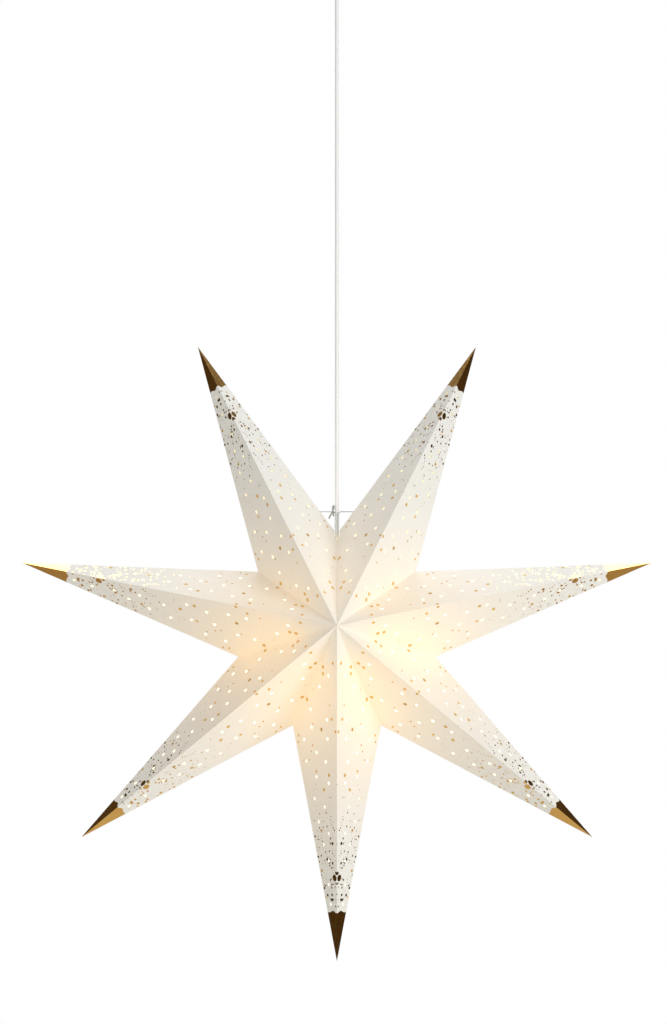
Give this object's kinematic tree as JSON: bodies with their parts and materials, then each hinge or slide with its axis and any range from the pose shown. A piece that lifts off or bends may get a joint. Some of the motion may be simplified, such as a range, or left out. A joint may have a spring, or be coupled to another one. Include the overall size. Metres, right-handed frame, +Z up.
{
  "type": "paper star pendant lamp",
  "caption": "Folded card star pendant lamp with long pointed rays, punched light holes and gold flecks, hung on a straight cord from a round ceiling cup.",
  "frame": {"origin": "middle of the ceiling plate's top face, on the cord's axis", "axes": "+Z up towards the ceiling; the star's front faces -Y and +X is to the right as seen from the front"},
  "size_m": [0.7506, 0.2232, 1.275],
  "materials": {
    "star_card": "matt white card printed with gold foil flecks",
    "white_plastic": "satin",
    "zinc_steel": "zinc plated",
    "cord_white": "smooth PVC",
    "core_blue": "smooth PVC",
    "block_plastic": "moulded",
    "hanger_wire": "drawn galvanised wire",
    "pin_steel": "dull plated",
    "nylon": "moulded nylon",
    "insert_plastic": "moulded",
    "brass": "pressed sheet",
    "opal": "opal diffuser",
    "bulb_plastic": "moulded",
    "nickel": "nickel plated",
    "black_insulator": "glassy",
    "solder": "soldered"
  },
  "bodies": {
    "ceiling_rose": {"ceiling_plate": "zinc_steel", "ceiling_cup": "white_plastic", "cup_screws": "zinc_steel", "cord_outlet": "white_plastic", "outlet_nut": "white_plastic", "cord_top": "cord_white", "ceiling_cores": "core_blue", "terminal_block": "block_plastic", "block_screws": "zinc_steel"},
    "cord": {"pendant_cord": "cord_white"},
    "lamp": {"wire_hanger": "hanger_wire", "split_pin": "pin_steel", "holder_skirt": "white_plastic", "shade_ring": "white_plastic", "holder_cap": "white_plastic", "cord_grip_screw": "nylon", "contact_insert": "insert_plastic", "thread_shell": "brass", "centre_contact": "brass", "holder_terminal_screws": "brass", "holder_cores": "core_blue"},
    "star": {"ray_bottom": "star_card", "ray_lower_right": "star_card", "ray_right": "star_card", "ray_upper_right": "star_card", "ray_upper_left": "star_card", "ray_left": "star_card", "ray_lower_left": "star_card"},
    "bulb": {"bulb_globe": "opal", "bulb_housing": "bulb_plastic", "bulb_screw_cap": "nickel", "bulb_insulator": "black_insulator", "bulb_tip": "solder"}
  },
  "joints": [
    {"name": "cord_swing", "type": "hinge", "parent": "ceiling_rose", "child": "cord", "pos_m": [0, 0, -0.061], "axis": [0, 1, 0], "range_deg": [-20, 20]},
    {"name": "cord_twist", "type": "hinge", "parent": "cord", "child": "lamp", "pos_m": [0, 0, -0.814], "axis": [0, 0, 1], "range_deg": [-180, 180]},
    {"name": "star_tilt", "type": "hinge", "parent": "lamp", "child": "star", "pos_m": [0, 0, -0.743], "axis": [1, 0, 0], "range_deg": [-4, 4]},
    {"name": "bulb_turn", "type": "hinge", "parent": "lamp", "child": "bulb", "pos_m": [0, 0, -0.85], "axis": [0, 0, -1], "range_deg": [0, 720]}
  ]
}
